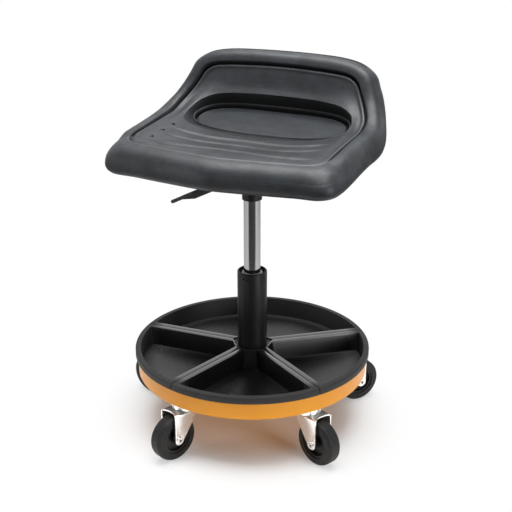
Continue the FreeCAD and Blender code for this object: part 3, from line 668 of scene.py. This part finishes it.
def rounded_rectangle(half_x, half_y, radius):
    """An evenly spaced loop round a rectangle with rounded corners, from its front's middle."""
    outline = [Vector((0, -half_y))]
    for centre_x, centre_y, start in ((1, -1, -90), (1, 1, 0), (-1, 1, 90), (-1, -1, 180)):
        centre = Vector((centre_x * (half_x - radius), centre_y * (half_y - radius)))
        for step in range(corner_steps + 1):
            angle = math.radians(start + 90 * step / corner_steps)
            outline.append(centre + radius * Vector((math.cos(angle), math.sin(angle))))
    return evenly(outline)


def moved_across(loop):
    """A loop of the recess moved a little to the sitter's left."""
    return [Vector((point.x + recess_shift, point.y)) for point in loop]


def on_profile(v):
    """Y, Z and slope of the sitting surface's middle line at a distance v along it."""
    turn = back_slope - seat_slope
    straight = bend_start / math.cos(seat_slope)
    arc = bend_radius * turn
    y = min(v, straight) * math.cos(seat_slope)
    z = seat_level + min(v, straight) * math.sin(seat_slope)
    if v <= straight:
        return y, z, seat_slope
    angle = seat_slope + min(turn, (v - straight) / bend_radius)
    y += bend_radius * (math.sin(angle) - math.sin(seat_slope))
    z += bend_radius * (math.cos(seat_slope) - math.cos(angle))
    rest = max(0.0, v - straight - arc)
    return y + rest * math.cos(back_slope), z + rest * math.sin(back_slope), angle


def over_surface(flat, height):
    """The point at a height over the sitting surface."""
    y, z, slope = on_profile(flat.y)
    rise = blend(rise_front, rise_back, held_share((flat.y - rise_start) / rise_length))
    lifted = height + rise * (flat.x / seat_half_width) ** 2
    return Vector((flat.x, y - lifted * math.sin(slope), z + lifted * math.cos(slope)))


def on_recess(flat, height):
    """The point at a height square over the recess's floor."""
    along = flat.y - recess_y
    return Vector((flat.x, flat.y - height * math.sin(recess_slope),
                   recess_level + along * math.tan(recess_slope) + height * math.cos(recess_slope)))


def thickness(flat):
    even = blend(seat_thick, back_thick, held_share((flat.y - thin_start) / thin_length))
    return even - side_droop * flat.x / seat_half_width * smooth_share((droop_end - flat.y) / droop_length)


def flare(flat, distance, share):
    """How much further the front corners stand out, growing downwards with the share of the thickness."""
    sideways = smooth_share((abs(flat.x) - flare_across_start) / flare_across_length)
    forward = held_share((flare_back_end - flat.y) / flare_length)
    down = smooth_share(share / flare_down_share)
    return corner_flare * (sideways * forward) * down * smooth_share(distance / flare_out_length)


def dish(flat):
    """How far the sitting surface sinks in its middle."""
    depth = blend(dish_depth, dish_back, held_share((flat.y - dish_change_start) / dish_change_length))
    return depth * max(0.0, 1 - abs(flat.x / dish_half_width) ** dish_power)


def panel_sink(flat):
    """How far the panel's edge lies under the rim, more at the back than in front."""
    return blend(panel_sink_front, panel_sink_back, smooth_share((flat.y - sink_start) / sink_length))


def front_share(flat):
    """1 along the seat's front, 0 a little further back."""
    return smooth_share((front_end - flat.y) / front_fade)


def ridge(flat, forward, width):
    """Share of a shallow ridge across the panel, or of the band of painted shade a little in front of each
    ridge.
    """
    away = abs(flat.x)
    bow = smooth_share(away / ridge_bow_length)
    bow -= smooth_share((away - ridge_return_start) / ridge_return_length)
    crests = sum(math.exp(-((flat.y + forward - line + dip * bow) / width) ** 2) for line, dip in ridge_lines)
    return crests * smooth_share((ridge_end - away) / ridge_fade)


def gap_width(flat):
    """Width of the gap round the plate, least in front."""
    return blend(gap_front, gap_rear, smooth_share((flat.y - gap_change_start) / gap_change_length))


def plate_depth(flat):
    """How far the plate lies under the lip, more at the back than in front."""
    return plate_depth_front + (plate_depth_rear - plate_depth_front) * (flat.y - plate_front) / plate_length


class Skin:
    """The seat's skin: rings from the middle of its underside round to the middle of its recess."""

    def __init__(self):
        self.edge = curve_through(seat_edge)
        self.edge_out = outward_normals(self.edge)
        self.groove = curve_through(groove_edge)
        self.groove_out = outward_normals(self.groove)
        self.rings = []
        self.painted_lights = []
        self.add_underside()
        self.add_side()
        self.add_rim()
        self.add_groove()
        self.add_panel()
        self.add_recess()

    def add(self, ring, painted_light=0.0):
        self.rings.append(ring)
        self.painted_lights.extend(painted_light if isinstance(painted_light, list) else [painted_light] * len(ring))

    def beside_groove(self, distance):
        """The loop at a distance outside the groove's middle, or inside it where the distance is negative."""
        if distance < 0:
            return [point + out * distance for point, out in zip(self.groove, self.groove_out)]
        return [point.lerp(rim, distance / groove_inset) for point, rim in zip(self.groove, self.edge)]

    def add_underside(self):
        boss_low = underpan_top + pad_clearance
        boss = rounded_rectangle(boss_half_length, boss_half_width, boss_round)
        for share in boss_shares:
            self.add([Vector((point.x * share, point.y * share, boss_low)) for point in boss])
        grown = rounded_rectangle(boss_half_length + boss_edge, boss_half_width + boss_edge,
                                  boss_round + boss_edge)
        self.add([Vector((point.x, point.y, boss_low + boss_edge)) for point in grown])
        seam = self.beside_groove(-seam_inset)
        for share in underside_shares:
            flats = [start.lerp(end, share) for start, end in zip(grown, seam)]
            self.add([over_surface(flat, underside_rise * (1 - share) - thickness(flat)) for flat in flats])
        self.add([over_surface(flat, seam_height - thickness(flat)) for flat in seam])

    def add_side(self):
        """The outer side, upwards."""
        for distance, share in reversed(side_section):
            ring = []
            for flat, out in zip(self.beside_groove(distance), self.edge_out):
                ring.append(over_surface(flat + out * flare(flat, distance, share), -share * thickness(flat)))
            self.add(ring)

    def add_rim(self):
        """The rim, inwards."""
        for distance, height, front_height, sunk, painted_light, front_painted_light in reversed(rim_section):
            ring = []
            marks = []
            for flat, out in zip(self.beside_groove(distance), self.edge_out):
                front = front_share(flat)
                level = blend(height, front_height, front)
                level -= sunk * (1 - front) * (panel_sink(flat) + groove_floor)
                ring.append(over_surface(flat + out * flare(flat, distance, -level / thickness(flat)), level))
                # Painted light of this ring: painted highlight on the beads, painted shade down in the groove
                marks.append(blend(painted_light, front_painted_light, front))
            self.add(ring, marks)

    def add_groove(self):
        """The groove's inner side, up to the panel."""
        for distance, height, front_height, painted_light, front_painted_light in groove_section:
            ring = []
            marks = []
            for flat in self.beside_groove(-distance):
                front = front_share(flat)
                ring.append(over_surface(flat, blend(height, front_height, front) - panel_sink(flat)))
                # Painted light of this ring: painted highlight on the panel's bead, painted shade in the
                # groove
                marks.append(blend(painted_light, front_painted_light, front))
            self.add(ring, marks)

    def add_panel(self):
        """The dished panel with its ridges, from the groove to the mouth of the recess."""
        last_distance = groove_section[-1][0]
        panel = self.beside_groove(-last_distance)
        opening = moved_across(curve_through(recess_edge))
        for step in range(1, panel_steps + 1):
            share = step / panel_steps
            dished = smooth_share(share / panel_blend_share)
            ring = []
            marks = []
            for start, end in zip(panel, opening):
                flat = start.lerp(end, share)
                crest = ridge(flat, 0, ridge_width)
                shade = ridge(flat, ridge_shade_drop, ridge_shade_width)
                sunk = dish(flat) * dished + panel_sink(flat) * (1 - dished)
                ring.append(over_surface(flat, ridge_height * crest - sunk))
                # Painted highlight on the ridges' crests, painted shade on the bands in front of them
                marks.append(ridge_painted_light * crest - ridge_painted_light * shade)
            self.add(ring, marks)

    def add_recess(self):
        """The recess: its rounded edge and wall, the lip, the gap and the plate."""
        lip = moved_across(curve_through(lip_edge))
        plate = moved_across(curve_through(plate_edge))
        lip_out = [(start - end).normalized() for start, end in zip(lip, plate)]
        mouth = self.rings[-1]
        foot = [on_recess(flat + out * wall_foot_out, -wall_foot_drop) for flat, out in zip(lip, lip_out)]
        for share_out, share_down in wall_shares:
            crease = smooth_share(share_out / crease_in_share)
            crease *= smooth_share((1 - share_out) / crease_out_share)
            ring = []
            for start, end in zip(mouth, foot):
                run = end - start
                ring.append(Vector((start.x + run.x * share_out, start.y + run.y * share_out,
                                    start.z + run.z * share_down - crease_depth * crease)))
            # Painted shade on the wall, growing outwards from the mouth
            self.add(ring, wall_painted_shade * smooth_share(share_out / wall_painted_shade_share))
        self.add(foot, wall_foot_painted_shade)
        for inward, gap_share, height, sunk, painted_light in lip_section:
            ring = []
            for start, out in zip(lip, lip_out):
                flat = start - out * (inward + gap_share * gap_width(start))
                ring.append(on_recess(flat, height - sunk * plate_depth(flat)))
            self.add(ring, painted_light)
        middle = Vector((recess_shift, recess_middle))
        last_inward = lip_section[-1][0]
        last = [start - out * (last_inward + gap_width(start)) for start, out in zip(lip, lip_out)]
        for share in plate_shares:
            flats = [middle.lerp(edge_point, share) for edge_point in last]
            self.add([on_recess(flat, -plate_depth(flat)) for flat in flats])


# Tools for making pieces

def closed_shell(name, rings):
    """A closed mesh through rings of equal count, with its two ends filled."""
    vertices = [point for ring in rings for point in ring]
    count = len(rings[0])
    faces = []
    for number in range(len(rings) - 1):
        low = number * count
        high = low + count
        for step in range(count):
            following = (step + 1) % count
            faces.append((low + step, low + following, high + following, high + step))
    faces.append(tuple(reversed(range(count))))
    faces.append(tuple(range(len(vertices) - count, len(vertices))))
    mesh = bpy.data.meshes.new(name)
    mesh.from_pydata(vertices, [], faces)
    return add_piece(name, mesh)


def add_piece(name, mesh):
    piece = bpy.data.objects.new(name, mesh)
    bpy.context.scene.collection.objects.link(piece)
    return piece


def pick_only(piece):
    bpy.ops.object.select_all(action="DESELECT")
    piece.select_set(True)
    bpy.context.view_layer.objects.active = piece


def set_painted_light(piece, painted_lights):
    """Gives each point of a piece its painted light, which the foam reads: 1 a painted highlight, -1 painted
    shade.
    """
    piece.data.attributes.new("painted_light", "FLOAT", "POINT").data.foreach_set("value", painted_lights)


def round_cutter(radius, depth, place, turn=(0, 0, 0), sides=round_sides):
    """A cylinder to cut with."""
    bpy.ops.mesh.primitive_cylinder_add(vertices=sides, radius=radius, depth=depth, location=place,
                                        rotation=turn)
    return bpy.context.object


def cut_away(piece, cutter):
    """Takes one piece out of another and removes it."""
    cut = piece.modifiers.new("cut", "BOOLEAN")
    cut.operation = "DIFFERENCE"
    cut.solver = "EXACT"
    cut.object = cutter
    pick_only(piece)
    bpy.ops.object.modifier_apply(modifier=cut.name)
    bpy.data.objects.remove(cutter)


def eased(node, name, body, width, angle=edge_angle):
    """A copy of a CAD node with its sharp edges rounded."""
    piece = add_piece(name, frame["nodes"][node].data.copy())
    pick_only(piece)
    bpy.ops.object.mode_set(mode="EDIT")
    bpy.ops.mesh.select_all(action="SELECT")
    bpy.ops.mesh.remove_doubles(threshold=merge_distance)
    bpy.ops.mesh.dissolve_limited(angle_limit=flat_angle)
    bpy.ops.object.mode_set(mode="OBJECT")
    bevel = piece.modifiers.new("eased_edges", "BEVEL")
    bevel.width = width
    bevel.segments = edge_segments
    bevel.limit_method = "ANGLE"
    bevel.angle_limit = angle
    bpy.ops.object.modifier_apply(modifier=bevel.name)
    bpy.ops.object.shade_smooth_by_angle(angle=edge_smooth_angle)
    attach(piece, body)
    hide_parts(node)
    return piece


# Pieces

def cut_notch(seat, flat):
    """A small three-cornered hole cut into the panel, with painted shade inside it."""
    bpy.ops.mesh.primitive_cone_add(vertices=notch_corners, radius1=notch_radius, radius2=notch_radius,
                                    depth=2 * notch_depth, location=over_surface(flat, -dish(flat)),
                                    rotation=(seat_slope, 0, 0))
    cutter = bpy.context.object
    # The cutter's faces carry -1, so the hole's sides get the foam's painted shade
    set_painted_light(cutter, [-1.0] * len(cutter.data.vertices))
    cut_away(seat, cutter)


def make_seat():
    """The moulded seat pad: rim, groove, ridged panel and recess in one closed skin."""
    skin = Skin()
    seat = closed_shell("moulded_seat", skin.rings)
    set_painted_light(seat, skin.painted_lights)
    pick_only(seat)
    bpy.ops.object.mode_set(mode="EDIT")
    bpy.ops.mesh.select_all(action="SELECT")
    bpy.ops.mesh.normals_make_consistent(inside=False)
    bpy.ops.object.mode_set(mode="OBJECT")
    for across, along in notches:
        cut_notch(seat, Vector((across, along)))
    pick_only(seat)
    bpy.ops.object.shade_smooth_by_angle(angle=seat_smooth_angle)
    seat.data.materials.append(finishes["seat_foam"])
    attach(seat, "seat")
    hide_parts("seat_pad")


def make_guide_bush():
    """The column's guide bush, with the ring groove in its top."""
    bush = eased("column_guide_bush", "grooved_guide_bush", "base", bush_edge)
    mouth = (0, 0, bush_top)
    ring = round_cutter(bush_groove_outer, 2 * bush_groove_depth, mouth)
    cut_away(ring, round_cutter(bush_groove_inner, 4 * bush_groove_depth, mouth))
    cut_away(bush, ring)
    cut_away(bush, round_cutter(2 * bush_groove_outer, 2 * bush_sink, mouth))


def make_column():
    """The lift's outer column with the punched marks that hold its bush."""
    column = eased("column_tube", "crimped_column", "base", tube_edge, tube_edge_angle)
    for turn in mark_turns:
        place = (column_r * math.cos(turn), column_r * math.sin(turn), mark_level)
        cut_away(column, round_cutter(mark_r, mark_depth, place, (0, math.radians(90), turn), mark_sides))


def make_trays_and_forks():
    """The trays and the casters' forks, one fork to a tray, with their edges eased."""
    for number in range(1, tray_count + 1):
        eased(f"tray_{number}", f"eased_tray_{number}", f"tray_{number}", tray_edge)
        eased(f"fork_{number}", f"eased_fork_{number}", f"caster_{number}", fork_edge)


# Stage

def make_camera():
    bpy.ops.object.camera_add(location=camera_place, rotation=(camera_tilt, 0, camera_side))
    camera = bpy.context.object
    camera.data.lens = camera_lens
    camera.data.sensor_width = camera_sensor
    camera.data.clip_end = camera_far
    bpy.context.scene.camera = camera


def make_floor():
    """A pale floor that keeps the object's shadow and is white to the camera further out."""
    bpy.ops.mesh.primitive_plane_add(size=2 * floor_half, location=(0, 0, 0))
    floor = bpy.context.object
    floor.name = "studio_floor"
    material = bpy.data.materials.new("studio_floor_white")
    material.use_nodes = True
    tree = material.node_tree
    tree.nodes.clear()
    nodes = Nodes(tree)
    seen = nodes.node("LightPath", output="Is Camera Ray")
    mirrored = nodes.node("LightPath", output="Is Glossy Ray")
    place = nodes.node("TexCoord", output="Object")
    far = nodes.length(place)
    toward = nodes.along(place, toward_camera)
    dark = nodes.between(toward, *floor_dark_span)
    dark = dark * nodes.between(toward / far, *floor_dark_share_span) * mirrored
    behind = nodes.between(0.0 - toward, *floor_behind_span)
    away = nodes.between(far, *floor_far_span)
    reflected = mirrored * (floor_mirror_rise - away * floor_far_drop)
    level = floor_grey + seen * floor_seen_rise + reflected - dark * floor_dark_drop
    colour = nodes.node("CombineColor", inputs={0: level, 1: level, 2: level})
    plain = nodes.node("BsdfDiffuse", inputs={"Color": colour})
    white = nodes.node("Emission", inputs={"Color": grey(1.0), "Strength": 1.0})
    open_floor = nodes.maths("MAXIMUM", nodes.between(far, *floor_open_span), behind)
    whole = nodes.node("MixShader", inputs={0: seen * open_floor, 1: plain, 2: white})
    output = tree.nodes.new("ShaderNodeOutputMaterial")
    tree.links.new(whole.socket, output.inputs["Surface"])
    floor.data.materials.append(material)


def make_lamps():
    for name, place, aim, width, height, watts, colour in lamps:
        turn = (Vector(place) - Vector(aim)).to_track_quat("Z", "Y").to_euler()
        bpy.ops.object.light_add(type="AREA", location=place, rotation=turn)
        lamp = bpy.context.object
        lamp.name = name
        lamp.data.shape = "RECTANGLE"
        lamp.data.size = width
        lamp.data.size_y = height
        lamp.data.energy = watts
        lamp.data.color = colour
        lamp.visible_camera = False


def make_world():
    """White for the camera, pale with a dark side in reflections, and soft grey as light."""
    world = bpy.data.worlds.new("studio")
    bpy.context.scene.world = world
    world.use_nodes = True
    nodes = Nodes(world.node_tree)
    seen = nodes.node("LightPath", output="Is Camera Ray")
    mirrored = nodes.node("LightPath", output="Is Glossy Ray")
    through = nodes.node("LightPath", output="Is Transmission Ray")
    toward = nodes.along(nodes.node("TexCoord", output="Generated"), toward_camera)
    studio = studio_level - nodes.between(toward, *studio_dark_span) * studio_dark_drop
    level = nodes.maths("MAXIMUM", mirrored * studio, through)
    other = nodes.maths("MAXIMUM", level, (1.0 - mirrored) * sky_level)
    background = world.node_tree.nodes["Background"]
    nodes.plug(nodes.maths("MAXIMUM", seen, other), background.inputs["Strength"])
    nodes.plug(grey(1.0), background.inputs["Color"])


make_camera()
make_floor()
make_lamps()
make_world()
bpy.context.scene.view_settings.view_transform = "Standard"

dress_nodes()
make_seat()
make_guide_bush()
make_column()
make_trays_and_forks()
